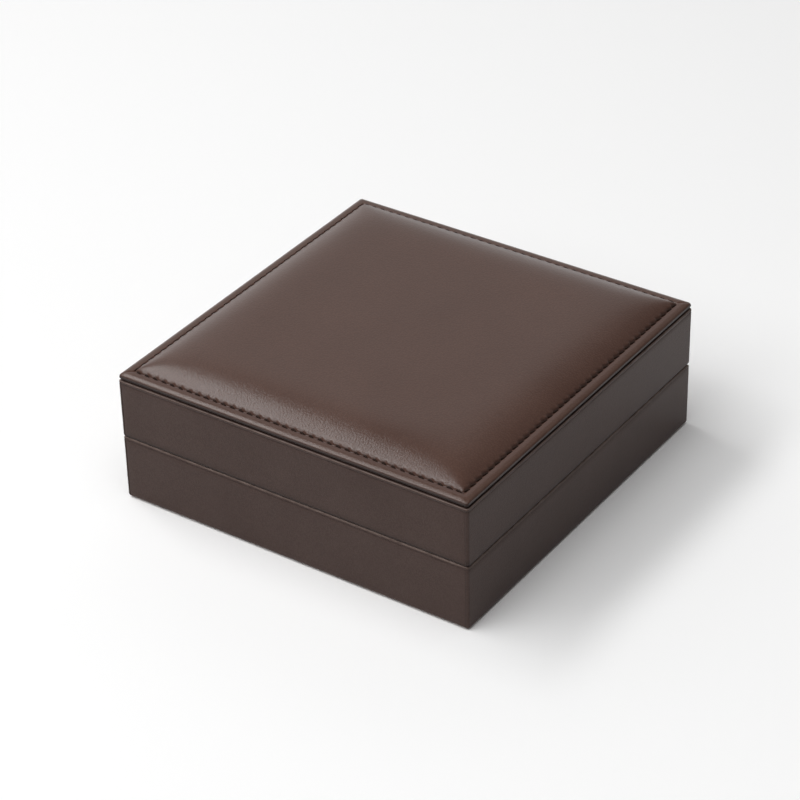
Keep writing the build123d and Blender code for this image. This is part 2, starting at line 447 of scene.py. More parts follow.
def satin_finish(name, deep, light, thread_size):
    """Satin weave: long floats across the piece, with a soft gloss."""
    material, tree, shader, place = new_finish(
        name, Roughness=0.38, Anisotropic=0.5, Sheen_Weight=0.15, Specular_IOR_Level=0.5
    )
    floats = node(
        tree,
        "TexWave",
        {"Vector": place, "Scale": 0.3 / thread_size, "Distortion": 1.2, "Detail": 2.0, "Detail Scale": 2.0},
        wave_type="BANDS",
        bands_direction="X",
    )
    across = node(
        tree,
        "TexWave",
        {"Vector": place, "Scale": 0.12 / thread_size, "Distortion": 0.8, "Detail": 1.0},
        wave_type="BANDS",
        bands_direction="Y",
    )
    drift = node(tree, "TexNoise", {"Vector": place, "Scale": 40.0, "Detail": 3.0})
    tone = blend_colours(tree, spread(tree, drift.outputs["Fac"], 0.3, 0.7), deep, light)
    tree.links.new(tone, shader.inputs["Base Color"])
    weave = blend_colours(tree, 0.35, floats.outputs["Color"], across.outputs["Color"])
    bump = node(tree, "Bump", {"Height": weave, "Strength": 0.25, "Distance": 0.06 * mm})
    tree.links.new(bump.outputs["Normal"], shader.inputs["Normal"])
    return material


def board_finish(name, deep, light, fleck_size, rough=0.85):
    """Pressed board or card: short fibres in two tones."""
    material, tree, shader, place = new_finish(name, Roughness=rough, Specular_IOR_Level=0.25)
    stretched = node(tree, "Mapping", {"Vector": place, "Scale": (1.0, 0.35, 1.0)}).outputs["Vector"]
    fibres = node(
        tree,
        "TexNoise",
        {"Vector": stretched, "Scale": 1 / fleck_size, "Detail": 4.0, "Roughness": 0.7},
    )
    cloud = node(tree, "TexNoise", {"Vector": place, "Scale": 25.0, "Detail": 3.0})
    tone = blend_colours(tree, spread(tree, cloud.outputs["Fac"], 0.3, 0.7, 0.0, 0.5), light, deep)
    tone = blend_colours(tree, spread(tree, fibres.outputs["Fac"], 0.4, 0.65, 0.0, 0.7), tone, deep)
    tree.links.new(tone, shader.inputs["Base Color"])
    bump = node(tree, "Bump", {"Height": fibres.outputs["Fac"], "Strength": 0.3, "Distance": 0.1 * mm})
    tree.links.new(bump.outputs["Normal"], shader.inputs["Normal"])
    return material


def foam_finish(name, deep, light, pore_size):
    """Open-cell foam: small round pores."""
    material, tree, shader, place = new_finish(name, Roughness=0.95, Specular_IOR_Level=0.1)
    pores = node(tree, "TexVoronoi", {"Vector": place, "Scale": 1 / pore_size, "Randomness": 1.0})
    tone = blend_colours(tree, spread(tree, pores.outputs["Distance"], 0.1, 0.5), deep, light)
    tree.links.new(tone, shader.inputs["Base Color"])
    bump = node(tree, "Bump", {"Height": pores.outputs["Distance"], "Strength": 0.8, "Distance": 0.3 * mm})
    tree.links.new(bump.outputs["Normal"], shader.inputs["Normal"])
    return material


def metal_finish(name, bright, dull, smooth, rough):
    """Plated or solid metal with fine rubbing marks from front to back and duller patches."""
    material, tree, shader, place = new_finish(name, Metallic=1.0)
    strokes = node(tree, "Mapping", {"Vector": place, "Scale": (1.0, 0.06, 1.0)}).outputs["Vector"]
    marks = node(tree, "TexNoise", {"Vector": strokes, "Scale": 3500.0, "Detail": 3.0, "Roughness": 0.6})
    tarnish = node(tree, "TexNoise", {"Vector": place, "Scale": 260.0, "Detail": 4.0, "Roughness": 0.6})
    tone = blend_colours(tree, spread(tree, tarnish.outputs["Fac"], 0.45, 0.75), bright, dull)
    tree.links.new(tone, shader.inputs["Base Color"])
    rough_value = spread(tree, marks.outputs["Fac"], 0.3, 0.7, smooth, rough)
    tree.links.new(rough_value, shader.inputs["Roughness"])
    bump = node(tree, "Bump", {"Height": marks.outputs["Fac"], "Strength": 0.2, "Distance": 0.03 * mm})
    tree.links.new(bump.outputs["Normal"], shader.inputs["Normal"])
    return material


box_hide = leather_finish(
    "box_hide",
    deep=(0.066, 0.042, 0.036, 1),
    light=(0.080, 0.053, 0.046, 1),
    worn_and_lit=(0.19, 0.14, 0.12, 1),
    gloss=0.1,
    grain_size=0.6 * mm,
)
panel_hide = leather_finish(
    "panel_hide",
    deep=(0.082, 0.041, 0.030, 1),
    light=(0.098, 0.051, 0.038, 1),
    worn_and_lit=(0.13, 0.09, 0.07, 1),
    gloss=0.42,
    grain_size=0.85 * mm,
)
brown_thread = thread_finish("brown_thread", (0.012, 0.006, 0.004, 1), (0.032, 0.016, 0.011, 1))
beige_velvet = pile_finish("beige_velvet", (0.36, 0.26, 0.165, 1), (0.47, 0.36, 0.24, 1), 0.35 * mm, 0.6)
dark_suede = pile_finish("dark_suede", (0.012, 0.009, 0.008, 1), (0.024, 0.018, 0.016, 1), 0.45 * mm, 0.25)
beige_satin = satin_finish("beige_satin", (0.44, 0.33, 0.215, 1), (0.53, 0.41, 0.28, 1), 0.25 * mm)
pressed_board = board_finish("pressed_board", (0.22, 0.13, 0.06, 1), (0.35, 0.22, 0.115, 1), 0.7 * mm)
grey_card = board_finish("grey_card", (0.19, 0.18, 0.165, 1), (0.29, 0.275, 0.25, 1), 0.9 * mm, 0.9)
cream_foam = foam_finish("cream_foam", (0.42, 0.38, 0.28, 1), (0.72, 0.68, 0.55, 1), 0.8 * mm)
satin_brass = metal_finish("satin_brass", (0.62, 0.42, 0.16, 1), (0.40, 0.25, 0.09, 1), 0.26, 0.4)
bright_plate = metal_finish("bright_plate", (0.62, 0.6, 0.56, 1), (0.45, 0.42, 0.36, 1), 0.2, 0.34)
magnet_plate = metal_finish("magnet_plate", (0.55, 0.55, 0.56, 1), (0.40, 0.40, 0.42, 1), 0.12, 0.25)

finishes = {
    "brown_leather": box_hide,
    "stitching_thread": brown_thread,
    "underside_suede": dark_suede,
    "foam": cream_foam,
    "grey_card": grey_card,
    "satin": beige_satin,
    "velvet": beige_velvet,
    "fibreboard": pressed_board,
    "plated_magnet": magnet_plate,
    "plated_steel": bright_plate,
    "hinge_brass": satin_brass,
}


# Leather wraps
def lies_at(edge, height):
    """Whether both ends of an edge are at this height."""
    return all(abs(v.co.z - height) < same_place for v in edge.verts)


def open_edges(bm, height):
    """The open edges at one height."""
    return [e for e in bm.edges if e.is_boundary and lies_at(e, height)]


def fold(bm, edges, inset, drop):
    """Carries an open edge on, inward to a rectangle that far inside the box and down by a drop."""
    made = bmesh.ops.extrude_edge_only(bm, edges=edges)["geom"]
    verts = [g for g in made if isinstance(g, bmesh.types.BMVert)]
    for v in verts:
        v.co.x = clamped(v.co.x, half_width - inset)
        v.co.y = clamped(v.co.y, half_depth - inset)
        v.co.z -= drop
    bmesh.ops.remove_doubles(bm, verts=verts, dist=same_place)


def fold_lines(bm, height, inside):
    """The edges at one height where a level face meets an upright one, outside or inside the wall."""
    found = []
    for e in bm.edges:
        if len(e.link_faces) != 2 or not lies_at(e, height):
            continue
        level, upright = sorted(e.link_faces, key=lambda f: -abs(f.normal.z))
        if abs(level.normal.z) < 0.9 or abs(upright.normal.z) > 0.1:
            continue
        middle = (e.verts[0].co + e.verts[1].co) / 2
        if (edge_distance(middle) > base_wall / 2) == inside:
            found.append(e)
    return found


def bevel_back_rim(bm):
    """Presses the back rim down to the slope whose top lies on the hinge axis, with soft edges."""
    slope = Vector((0, math.sin(bevel_angle), math.cos(bevel_angle)))
    top = Vector((0, hinge_y, seam_z)) - slope * bevel_clearance
    soft = inner_rim_radius
    for share in (-1, -0.5, 0, 0.5, 1):
        cut_across(bm, everything(bm), top + slope * soft * share, slope)
    for v in bm.verts:
        beyond = (v.co - top).dot(slope)
        if beyond > soft:
            v.co -= slope * beyond
        elif beyond > -soft:
            v.co -= slope * (beyond + soft) ** 2 / (4 * soft)


def notch_for_hinges(bm):
    """Opens the back rim where the leaves and barrels lie."""
    middle = (leaf_low.x + leaf_high.x) / 2
    half = (leaf_high.x - leaf_low.x) / 2 + notch_clearance
    front = leaf_low.y - notch_clearance
    floor = seam_z - barrel_notch * math.sin(bevel_angle)
    planes = [((side * middle + end * half, 0, 0), (1, 0, 0)) for side in (-1, 1) for end in (-1, 1)]
    planes += [((0, front, 0), (0, 1, 0)), ((0, 0, floor), (0, 0, 1))]
    for point, normal in planes:
        near = [f for f in bm.faces if f.calc_center_median().y > 0 or f.calc_area() > broad_face]
        cut_across(bm, with_edges(near), point, normal)
    hole = []
    for f in bm.faces:
        centre = f.calc_center_median()
        if abs(abs(centre.x) - middle) < half and centre.y > front and centre.z > floor:
            hole.append(f)
    bmesh.ops.delete(bm, geom=hole, context="FACES")


def on_rim_corner(point, corner, rim):
    """Whether a point lies on the rim, near this corner."""
    reach = 2 * leather + base_wall
    away = point - corner
    return abs(away.x) < reach and abs(away.y) < reach and point.z > rim - rim_radius


def crease_rim_corners(bm, rim):
    """A shallow crease along each mitre, where the leather's folded ends meet."""
    for side_x in (-1, 1):
        for side_y in (-1, 1):
            corner = Vector((side_x * half_width, side_y * half_depth, 0))
            across = Vector((side_x, -side_y, 0)).normalized()
            for offset in (-mitre_half_width, 0.0, mitre_half_width):
                near = [f for f in bm.faces if on_rim_corner(f.calc_center_median(), corner, rim)]
                cut_across(bm, with_edges(near), corner + across * offset, across)
            for v in bm.verts:
                on_mitre = abs((v.co - corner).dot(across)) < same_place
                if on_mitre and on_rim_corner(v.co, corner, rim) and v.co.y < hinge_y - rim_radius:
                    v.co.z -= mitre_depth


def seam_upright_corners(bm):
    """A fine groove beside each upright corner, where the leather's glued end shows."""
    place = half_width - upright_seam_inset
    for side in (-1, 1):
        for offset in (-upright_seam_half_width, 0.0, upright_seam_half_width):
            cut_across(bm, everything(bm), (side * place + offset, 0, 0), (1, 0, 0))
        for v in bm.verts:
            if abs(v.co.x - side * place) < same_place and abs(v.co.y) > half_depth - same_place:
                v.co.y -= math.copysign(upright_seam_depth, v.co.y)


def press_crease(bm, height):
    """A shallow crease round the walls, where the leather was creased beside its edge."""
    for offset in (-edge_crease_half_width, 0.0, edge_crease_half_width):
        cut_across(bm, everything(bm), (0, 0, height + offset), (0, 0, 1))
    bm.normal_update()
    for v in bm.verts:
        outside = edge_distance(v.co) < base_wall / 2
        on_bevel = v.co.y > hinge_y and v.co.z > seam_z - bevel_depth
        if outside and not on_bevel and abs(v.co.z - height) < same_place:
            v.co -= v.normal * edge_crease_depth


def mark_wear_highlight_and_shade(bm, low, rim, painted_shade_rim):
    """Marks where the level edges rub thin, with a paler colour that also paints their highlight, and where
    shade is painted: the grooves beside the upright corners and the lid's lower edge over the seam.
    """
    wear_and_highlight = bm.verts.layers.float.new("wear_and_highlight")
    painted_shade = bm.verts.layers.float.new("painted_shade")
    seam = half_width - upright_seam_inset
    dark_from = rim - 1.5 * rim_radius
    dark_fade = 0.5 * rim_radius
    worn_and_lit_top = rim - rim_radius
    worn_and_lit_foot = low + 0.7 * rim_radius
    bm.normal_update()
    for v in bm.verts:
        slope = abs(v.normal.z)
        outside = edge_distance(v.co) < rim_radius
        # Painted shade along the lid's lower edge over the seam
        if painted_shade_rim and outside and v.co.z > dark_from:
            v[painted_shade] = smooth_step((v.co.z - dark_from) / dark_fade)
            continue
        # Painted shade in the groove beside each upright corner
        if outside and abs(abs(v.co.x) - seam) < upright_seam_half_width / 3 and slope < 0.5:
            v[painted_shade] = seam_painted_shade
        # Worn edges, paler, which also paints their highlight
        if v.co.z > worn_and_lit_top or v.co.z < worn_and_lit_foot:
            turned_from_wall = smooth_step((slope - 0.25) / 0.3)
            short_of_level = smooth_step((0.995 - slope) / 0.05)
            v[wear_and_highlight] = turned_from_wall * short_of_level


def ruffle(bm, amount, size):
    """Moves the surface in and out a little, as glued leather lies over boards."""
    bm.normal_update()
    for v in bm.verts:
        v.co += v.normal * amount * noise.noise(v.co / size)


def leather_wrap(name, body, low, wall, edge_radius, crease_height, over_seam):
    """The leather of the base or, mirrored over the seam, of the lid.

    It covers the walls, turns over the rim and down inside, and turns under the closed face."""
    rim = base_high.z
    bm = box_shape((-half_width, -half_depth, low), (half_width, half_depth, rim))
    caps = [f for f in bm.faces if abs(f.normal.z) > 0.5]
    bmesh.ops.delete(bm, geom=caps, context="FACES_ONLY")
    round_over(bm, [e for e in bm.edges if not e.is_boundary], corner_radius, 6)
    fold(bm, open_edges(bm, low), face_turn_in, 0)
    fold(bm, open_edges(bm, rim), 2 * leather + wall, 0)
    fold(bm, open_edges(bm, rim), 2 * leather + wall, rim_turn_in)
    bmesh.ops.recalc_face_normals(bm, faces=bm.faces)
    round_over(bm, fold_lines(bm, low, False), edge_radius, 5)
    round_over(bm, fold_lines(bm, rim, False), rim_radius, 4)
    round_over(bm, fold_lines(bm, rim, True), inner_rim_radius, 2)
    bmesh.ops.remove_doubles(bm, verts=bm.verts, dist=sliver)
    bevel_back_rim(bm)
    notch_for_hinges(bm)
    bmesh.ops.recalc_face_normals(bm, faces=bm.faces)
    for axis, step in enumerate(wall_cells):
        slice_evenly(bm, axis, step)
    seam_upright_corners(bm)
    press_crease(bm, crease_height)
    crease_rim_corners(bm, rim)
    mark_wear_highlight_and_shade(bm, low, rim, over_seam)
    ruffle(bm, waviness, long_wave)
    ruffle(bm, waviness / 2, short_wave)
    if over_seam:
        mirror_over_seam(bm)
    piece = made_piece(name, bm, box_hide, body, body + "_leather")
    thicken(piece, leather)
    return piece


# Padded panel
def edge_section():
    """The panel's edge in section, from the turned end under it to the channel's far side.

    Each point is an inset from the box's outside and a height over the panel's underside."""
    section = [
        (face_turn_in, -underside_drop),
        (underside_end, -underside_drop),
        (roll_start, -0.85 * underside_drop),
    ]
    roll_steps = 10
    low, high = -math.pi / 2, math.pi / 2 - border_tilt
    for step in range(roll_steps + 1):
        angle = low + (high - low) * step / roll_steps
        inset = panel_inset + edge_radius * (1 - math.cos(angle))
        hang = bead_drop * max(0.0, -math.sin(angle))
        section.append((inset, edge_radius * (1 + math.sin(angle)) - hang))
    inset, height = section[-1]
    run = border_crest - inset
    for share in (0.25, 0.5, 0.75, 1.0):
        rise = run * math.tan(border_tilt) * share * (1 - share / 2)
        section.append((inset + run * share, height + rise))
    top = section[-1][1]
    section.append((channel_edge, top))
    for share in (0.3, 0.5, 0.7, 1.0):
        place = channel_edge + (stitch_inset - channel_edge) * share
        section.append((place, top - channel_depth * smooth_step(share)))
    section.append(((stitch_inset + crown_inset) / 2, top - channel_floor))
    return section, top


def crown_height(x, y, rise):
    """How high the padded field stands over its foot: steep at the stitching, level in the middle."""
    from_side = max(half_width - crown_inset - abs(x), crown_margin)
    from_end = max(half_depth - crown_inset - abs(y), crown_margin)
    inward = (from_side**-hip_power + from_end**-hip_power) ** (-1 / hip_power)
    share = min(inward / crown_run, 1)
    return (rise - puff) * (1 - (1 - share) ** 3) + puff * (1 - math.exp(-inward / puff_run))


def panel_surface(section, foot):
    """The panel's leather as one surface: a grid whose outer rings take the edge's section."""
    insets = [inset for inset, height in section]
    inset, step = crown_inset, first_ring_step
    while inset < ring_reach - step:
        insets.append(inset)
        inset += step
        step = min(step * ring_growth, cell / 2)
    depth = len(insets)
    field_x, field_y = half_width - ring_reach, half_depth - ring_reach
    count_x = 2 * depth + 2 * round(field_x / cell)
    count_y = 2 * depth + 2 * round(field_y / cell)
    bm = bmesh.new()
    bmesh.ops.create_grid(bm, x_segments=count_x, y_segments=count_y, size=1)
    ring_layer = bm.verts.layers.float.new("ring")

    def along(index, count, ring, field_half, half):
        """Where a line of the grid crosses a ring's long side."""
        from_edge = min(index, count - index)
        if from_edge >= depth:
            return field_half * (2 * (index - depth) / (count - 2 * depth) - 1)
        ring_half = half - (insets[ring] if ring < depth else ring_reach)
        place = ring_half + (field_half - ring_half) * (from_edge - ring) / (depth - ring)
        return math.copysign(min(place, ring_half), index - count / 2)

    for v in bm.verts:
        i = round((v.co.x + 1) / 2 * count_x)
        j = round((v.co.y + 1) / 2 * count_y)
        ring = min(i, count_x - i, j, count_y - j, depth)
        x = along(i, count_x, ring, field_x, half_width)
        y = along(j, count_y, ring, field_y, half_depth)
        if ring < len(section):
            inset = insets[ring]
            radius = panel_corner_radius
            centre_x, centre_y = half_width - inset - radius, half_depth - inset - radius
            out_x, out_y = abs(x) - centre_x, abs(y) - centre_y
            if out_x > 0 and out_y > 0:
                scale = max(out_x, out_y) / math.hypot(out_x, out_y)
                x = math.copysign(centre_x + out_x * scale, x)
                y = math.copysign(centre_y + out_y * scale, y)
            z = section[ring][1]
        else:
            z = foot
        v.co = (x, y, panel_low.z + z)
        v[ring_layer] = ring
    # Shorter cells from the border inward, and shorter still beside the stitches
    channel = len(section) - 1
    refine(bm, ring_layer, channel - 6, depth, 0.8 * cell)
    refine(bm, ring_layer, channel - 5, channel + 9, 0.4 * cell)
    return bm


def refine(bm, ring_layer, first, last, longest):
    """Halves the long edges that run along the rings of a band."""
    chosen = []
    for e in bm.edges:
        a, b = (v[ring_layer] for v in e.verts)
        if abs(a - b) < 0.1 and first <= a <= last and e.calc_length() > longest:
            chosen.append(e)
    bmesh.ops.subdivide_edges(bm, edges=chosen, cuts=1)


def raise_crown(bm, foot):
    """Lifts the field inside the channel to its crown."""
    rise = panel_high.z - panel_low.z - foot
    for v in bm.verts:
        inset = edge_distance(v.co)
        if inset > crown_inset - crown_margin and v.co.z > panel_low.z + edge_radius:
            v.co.z = panel_low.z + foot + crown_height(v.co.x, v.co.y, rise)


def gather_at_stitches(bm):
    """Presses the leather down beside every stitch and lets it rise where two stitches meet."""
    chance = random.Random(5)
    uneven = {}
    rows = (
        (0, half_width - stitch_inset, half_depth - stitch_inset, stitches_across),
        (1, half_depth - stitch_inset, half_width - stitch_inset, stitches_deep),
    )
    for v in bm.verts:
        if v.co.z < panel_low.z + edge_radius:
            continue
        move = Vector((0, 0, 0))
        for axis, half, other, count in rows:
            inside = other - abs(v.co[1 - axis])
            if not -gather_outside < inside < gather_inside or abs(v.co[axis]) > half - row_end:
                continue
            side = 1 if v.co[1 - axis] > 0 else -1
            turned = -side if axis == 0 else side
            pitch = 2 * half / count
            phase = (v.co[axis] + half) / pitch + turned * math.tan(stitch_slant) * inside / pitch
            hole = round(phase)
            key = (axis, hole, side)
            if key not in uneven:
                uneven[key] = chance.uniform(0.7, 1.25)
            pucker = bell(phase - hole, pucker_width) * uneven[key]
            swell = 0.5 + 0.5 * math.cos(2 * math.pi * phase)
            if inside > 0:
                near = bell(inside - swell_place, swell_reach)
                move.z += near * (swell_height * swell - swell_dip)
                move[1 - axis] += side * near * (swell_lean * swell - swell_draw)
            else:
                near = bell(inside + pucker_place, pucker_reach)
                move.z += near * (pucker_height * pucker - pucker_dip)
        v.co += move


def fold_border_corners(bm):
    """The leather's small fold across each corner of the border."""
    for v in bm.verts:
        to_x, to_y = half_width - abs(v.co.x), half_depth - abs(v.co.y)
        if min(to_x, to_y) > stitch_inset or v.co.z < panel_low.z + 0.4 * edge_radius:
            continue
        across = abs(to_x - to_y) / math.sqrt(2)
        v.co.z -= corner_fold * bell(across, corner_fold_width)


def mark_rolled_edge(bm):
    """Marks the top of the rolled edge, where the finish rubs thin and a highlight is painted, and its lower
    side, where shade is painted.
    """
    wear_and_highlight = bm.verts.layers.float.new("wear_and_highlight")
    painted_shade = bm.verts.layers.float.new("painted_shade")
    dark_below = 1.75 * edge_radius
    dark_fade = 0.5 * edge_radius
    for v in bm.verts:
        inset = edge_distance(v.co)
        height = v.co.z - panel_low.z
        on_top = height > edge_radius
        # The worn line along the rolled edge's top, which is also a painted highlight
        v[wear_and_highlight] = rolled_edge_wear_and_highlight * bell(inset - worn_and_lit_line, worn_and_lit_width) if on_top else 0
        # Painted shade on the rolled edge's lower side
        outside = inset < panel_inset + edge_radius + 1 * mm
        v[painted_shade] = smooth_step((dark_below - height) / dark_fade) if outside else 0


def padded_panel():
    """The leather over the padded panel, with its rolled edge, its channel and its crown."""
    section, top = edge_section()
    foot = top - channel_floor + crown_foot
    bm = panel_surface(section, foot)
    raise_crown(bm, foot)
    gather_at_stitches(bm)
    fold_border_corners(bm)
    ruffle(bm, panel_waviness, panel_wave)
    bmesh.ops.recalc_face_normals(bm, faces=bm.faces)
    mark_rolled_edge(bm)
    piece = made_piece("panel_cover", bm, panel_hide, "lid", "panel_leather")
    piece.data.materials.append(box_hide)
    for face in piece.data.polygons:
        outermost = edge_distance(face.center) < panel_inset + edge_radius
        if outermost and face.center.z < panel_low.z + 1.1 * edge_radius:
            face.material_index = 1
    thicken(piece, leather)
    return piece


def panel_filling():
    """The foam under the panel's leather: flat on its board, with the crown's form a little lower."""
    foam_low, foam_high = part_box("panel_foam")
    cells = 60
    bm = bmesh.new()
    bmesh.ops.create_grid(bm, x_segments=cells, y_segments=cells, size=1)
    edge = [e for e in bm.edges if e.is_boundary]
    rise = foam_high.z - foam_low.z - puff
    for v in bm.verts:
        v.co.x *= foam_high.x
        v.co.y *= foam_high.y
        v.co.z = foam_low.z + crown_height(v.co.x, v.co.y, rise)
    made = bmesh.ops.extrude_edge_only(bm, edges=edge)["geom"]
    for v in made:
        if isinstance(v, bmesh.types.BMVert):
            v.co.z = board_high.z
    bmesh.ops.holes_fill(bm, edges=[e for e in bm.edges if e.is_boundary], sides=0)
    bmesh.ops.recalc_face_normals(bm, faces=bm.faces)
    piece = made_piece("panel_filling", bm, cream_foam, "lid", "panel_foam")
    return piece


def stitch_shape():
    """One stitch: a short round thread that bends down into the leather at both ends."""
    bm = bmesh.new()
    bmesh.ops.create_circle(bm, segments=8, radius=thread_radius)
    bmesh.ops.rotate(bm, matrix=Matrix.Rotation(math.radians(90), 3, "Y"), verts=bm.verts)
    bmesh.ops.translate(bm, vec=(0, 0, stitch_bend), verts=bm.verts)
    bmesh.ops.rotate(bm, matrix=Matrix.Rotation(-stitch_half_turn, 3, "Y"), verts=bm.verts)
    bmesh.ops.spin(
        bm,
        geom=bm.verts[:] + bm.edges[:],
        cent=(0, 0, 0),
        axis=(0, 1, 0),
        angle=2 * stitch_half_turn,
        steps=6,
        use_merge=False,
    )
    bmesh.ops.translate(bm, vec=(0, 0, -stitch_bend), verts=bm.verts)
    bmesh.ops.holes_fill(bm, edges=[e for e in bm.edges if e.is_boundary], sides=0)
    bmesh.ops.recalc_face_normals(bm, faces=bm.faces)
    # The map runs along the thread and round it, about a line a little below its top point
    uv = bm.loops.layers.uv.new("along")
    line_drop = 0.2 * mm
    for face in bm.faces:
        for loop in face.loops:
            co = loop.vert.co
            loop[uv].uv = (co.x / mm, math.atan2(co.y, co.z + line_drop) / math.pi)
    return bm


def stitching():
    """The row of stitches in the channel, each a little out of line."""
    chance = random.Random(11)
    one = stitch_shape()
    template = bpy.data.meshes.new("stitch")
    one.to_mesh(template)
    one.free()
    bm = bmesh.new()
    lie = panel_low.z + edge_section()[1] - stitch_sink
    half_x = half_width - stitch_inset
    half_y = half_depth - stitch_inset
    for turn in range(4):
        along, out = ((half_x, half_y), (half_y, half_x))[turn % 2]
        count = (stitches_across, stitches_deep)[turn % 2]
        for index in range(count):
            place = ((index + 0.5) / count * 2 - 1) * along + chance.uniform(-stitch_stray, stitch_stray)
            start = len(bm.verts)
            bm.from_mesh(template)
            bm.verts.ensure_lookup_table()
            move = Matrix.Rotation(turn * math.pi / 2, 4, "Z")
            move @= Matrix.Translation((place, -out, lie + chance.uniform(-stitch_lift, stitch_lift)))
            move @= Matrix.Rotation(-stitch_slant * chance.uniform(0.8, 1.2), 4, "Z")
            bmesh.ops.transform(bm, matrix=move, verts=bm.verts[start:])
    bpy.data.meshes.remove(template)
    return made_piece("panel_stitches", bm, brown_thread, "lid", "panel_stitching")


# Pads and cushions
def finished_mesh(item):
    """The object's mesh with its modifiers applied."""
    graph = bpy.context.evaluated_depsgraph_get()
    graph.update()
    return bpy.data.meshes.new_from_object(item.evaluated_get(graph))


def blown_up(name, shape, voxel, pressure):
    """A closed cloth bag of this shape, swollen by its filling, and where its points started."""
    frames = 20
    mesh = bpy.data.meshes.new(name)
    shape.to_mesh(mesh)
    shape.free()
    bag = as_object(name + "_bag", mesh)
    remesh = bag.modifiers.new("even_cells", "REMESH")
    remesh.mode = "VOXEL"
    remesh.voxel_size = voxel
    even = finished_mesh(bag)
    bpy.data.objects.remove(bag)
    bag = as_object(name + "_bag", even)
    start = [v.co.copy() for v in even.vertices]
    cloth = bag.modifiers.new("cloth", "CLOTH")
    cloth.settings.quality = 5
    cloth.settings.mass = 0.2
    cloth.settings.use_pressure = True
    cloth.settings.uniform_pressure_force = pressure
    cloth.settings.effector_weights.gravity = 0
    cloth.point_cache.frame_start = 1
    cloth.point_cache.frame_end = frames
    for step in range(1, frames + 1):
        bpy.context.scene.frame_set(step)
    swollen = finished_mesh(bag)
    bag.modifiers.clear()
    bpy.context.scene.frame_set(1)
    bpy.data.objects.remove(bag)
    bm = bmesh.new()
    bm.from_mesh(swollen)
    return bm, start


def pad(name, node_name, shrink, voxel, pressure, cap, flat_low, material, body):
    """A padded piece in the place of a node: swollen by cloth simulation, flat where it is glued down."""
    low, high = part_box(node_name)
    inner_low = low + Vector(shrink)
    inner_high = high - Vector(shrink)
    if flat_low:
        inner_low.z = low.z + glue_line
    else:
        inner_high.z = high.z - glue_line
    shape = box_shape(inner_low, inner_high)
    round_over(shape, shape.edges[:], 0.3 * (inner_high.z - inner_low.z), 4)
    bm, start = blown_up(name, shape, voxel, pressure)
    for v, first in zip(bm.verts, start):
        move = v.co - first
        if move.length > cap:
            move *= cap / move.length
        v.co = first + move
        if flat_low:
            v.co.z = max(v.co.z, low.z)
        else:
            v.co.z = min(v.co.z, high.z)
    for axis in (0, 1):
        fill_out = high[axis] / max(v.co[axis] for v in bm.verts)
        for v in bm.verts:
            v.co[axis] = clamped(v.co[axis] * fill_out, high[axis])
    tuck_pad_edges(bm, high, flat_low)
    bmesh.ops.recalc_face_normals(bm, faces=bm.faces)
    piece = made_piece(name, bm, material, body, node_name)
    subdivision = piece.modifiers.new("smooth", "SUBSURF")
    subdivision.levels = 1
    subdivision.render_levels = 1
    return piece


def tuck_pad_edges(bm, high, face_up):
    """Small tucks that run in from the pad's sewn edges and fade towards its middle."""
    facing = 1 if face_up else -1
    bm.normal_update()
    for v in bm.verts:
        if facing * v.normal.z < 0.1:
            continue
        from_side, from_end = high.x - abs(v.co.x), high.y - abs(v.co.y)
        inward = min(from_side, from_end)
        along = v.co.y if from_side < from_end else v.co.x
        fade = math.exp(-inward / tuck_reach) * smooth_step(inward / tuck_start)
        wave = noise.noise(Vector((along / tuck_spacing, inward / tuck_length, 3.0)))
        v.co.z += facing * fade * (tuck_height * wave - tuck_sink)


# Screws
def slotted_screw():
    """A small countersunk screw with a slot in its head and a thread on its shank."""
    bm = bmesh.new()
    # Its outline from the middle of the head to the tip, as radius and depth
    profile = [
        (0, 0),
        (0.82 * screw_head, 0),
        (screw_head, 0.06 * mm),
        (screw_head, 0.12 * mm),
        (screw_shank, 0.75 * mm),
    ]
    thread_start = 0.9 * mm
    thread_length = screw_length - 2 * mm
    for turn in range(thread_turns):
        crest = thread_start + thread_length * turn / thread_turns
        profile += [(screw_shank, crest), (thread_root * screw_shank, crest + 0.36 * mm)]
    profile += [(0.75 * screw_shank, screw_length - 1.1 * mm), (0, screw_length)]
    verts = [bm.verts.new((radius, 0, -depth)) for radius, depth in profile]
    for first, second in zip(verts, verts[1:]):
        bm.edges.new((first, second))
    bmesh.ops.spin(
        bm,
        geom=bm.verts[:] + bm.edges[:],
        cent=(0, 0, 0),
        axis=(0, 0, 1),
        angle=2 * math.pi,
        steps=20,
        use_merge=True,
    )
    bmesh.ops.remove_doubles(bm, verts=bm.verts, dist=same_place)
    head_face = -0.01 * mm
    for point, normal in (
        ((0, slot_half_width, 0), (0, 1, 0)),
        ((0, -slot_half_width, 0), (0, 1, 0)),
        ((slot_half_length, 0, 0), (1, 0, 0)),
        ((-slot_half_length, 0, 0), (1, 0, 0)),
    ):
        top = [f for f in bm.faces if f.calc_center_median().z > head_face]
        cut_across(bm, with_edges(top), point, normal)
    slot = []
    for f in bm.faces:
        centre = f.calc_center_median()
        if centre.z > head_face and abs(centre.y) < slot_half_width and abs(centre.x) < slot_half_length:
            slot.append(f)
    made = bmesh.ops.extrude_face_region(bm, geom=slot)["geom"]
    bmesh.ops.delete(bm, geom=slot, context="FACES_ONLY")
    lowered = [g for g in made if isinstance(g, bmesh.types.BMVert)]
    bmesh.ops.translate(bm, vec=(0, 0, -slot_depth), verts=lowered)
    bmesh.ops.recalc_face_normals(bm, faces=bm.faces)
    return bm


